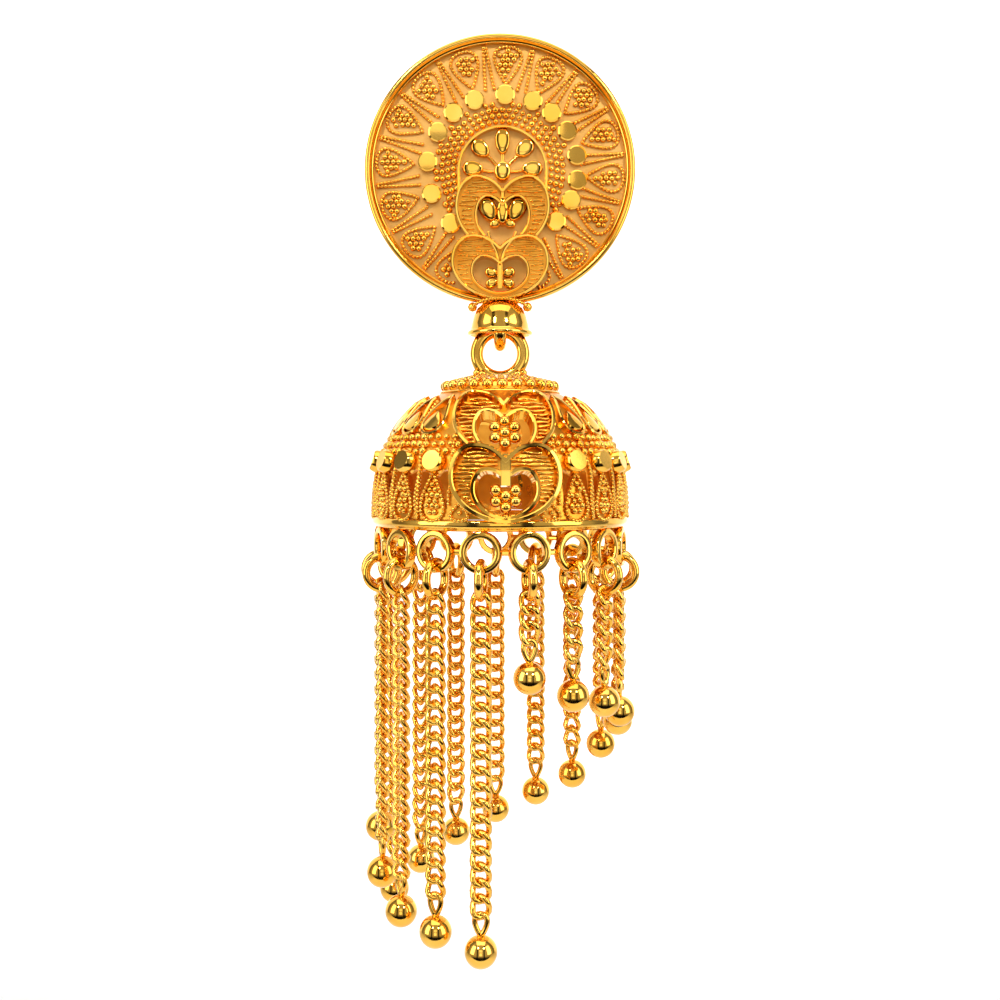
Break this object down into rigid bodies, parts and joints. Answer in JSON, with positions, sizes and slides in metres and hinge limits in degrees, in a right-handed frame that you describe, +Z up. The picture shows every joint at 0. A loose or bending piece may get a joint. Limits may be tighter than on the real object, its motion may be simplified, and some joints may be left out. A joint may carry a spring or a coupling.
{
  "type": "jhumka earring",
  "caption": "Gold jhumka drop earring: round granulated ear disc, openwork bell hung on a ring, and a slanting fringe of ball-ended curb chains.",
  "frame": {"origin": "root of the ear post, at the centre of the disc's flat back", "axes": "+Z up, as the earring hangs; the disc faces -Y and the post points to +Y; +X is to the viewer's right seen from the front"},
  "size_m": [0.0279, 0.0279, 0.0885],
  "materials": {
    "frosted_gold": "polished relief on a sandblasted plate",
    "post_gold": "polished",
    "bell_gold": "polished openwork",
    "link_gold": "polished",
    "ball_gold": "mirror polished"
  },
  "bodies": {
    "stud": {"stud_disc": "frosted_gold", "ear_post": "post_gold"},
    "drop": {"bell": "bell_gold", "jump_ring_01": "link_gold", "chain_01": "link_gold", "end_bead_01": "ball_gold", "jump_ring_02": "link_gold", "chain_02": "link_gold", "end_bead_02": "ball_gold", "jump_ring_03": "link_gold", "chain_03": "link_gold", "end_bead_03": "ball_gold", "jump_ring_04": "link_gold", "chain_04": "link_gold", "end_bead_04": "ball_gold", "jump_ring_05": "link_gold", "chain_05": "link_gold", "end_bead_05": "ball_gold", "jump_ring_06": "link_gold", "chain_06": "link_gold", "end_bead_06": "ball_gold", "jump_ring_07": "link_gold", "chain_07": "link_gold", "end_bead_07": "ball_gold", "jump_ring_08": "link_gold", "chain_08": "link_gold", "end_bead_08": "ball_gold", "jump_ring_09": "link_gold", "chain_09": "link_gold", "end_bead_09": "ball_gold", "jump_ring_10": "link_gold", "chain_10": "link_gold", "end_bead_10": "ball_gold", "jump_ring_11": "link_gold", "chain_11": "link_gold", "end_bead_11": "ball_gold", "jump_ring_12": "link_gold", "chain_12": "link_gold", "end_bead_12": "ball_gold", "jump_ring_13": "link_gold", "chain_13": "link_gold", "end_bead_13": "ball_gold", "jump_ring_14": "link_gold", "chain_14": "link_gold", "end_bead_14": "ball_gold", "jump_ring_15": "link_gold", "chain_15": "link_gold", "end_bead_15": "ball_gold", "jump_ring_16": "link_gold", "chain_16": "link_gold", "end_bead_16": "ball_gold", "jump_ring_17": "link_gold", "chain_17": "link_gold", "end_bead_17": "ball_gold"}
  },
  "joints": [
    {"name": "bell_swing", "type": "hinge", "parent": "stud", "child": "drop", "pos_m": [0, -0.001, -0.01607], "axis": [1, 0, 0], "range_deg": [-45, 45]}
  ]
}
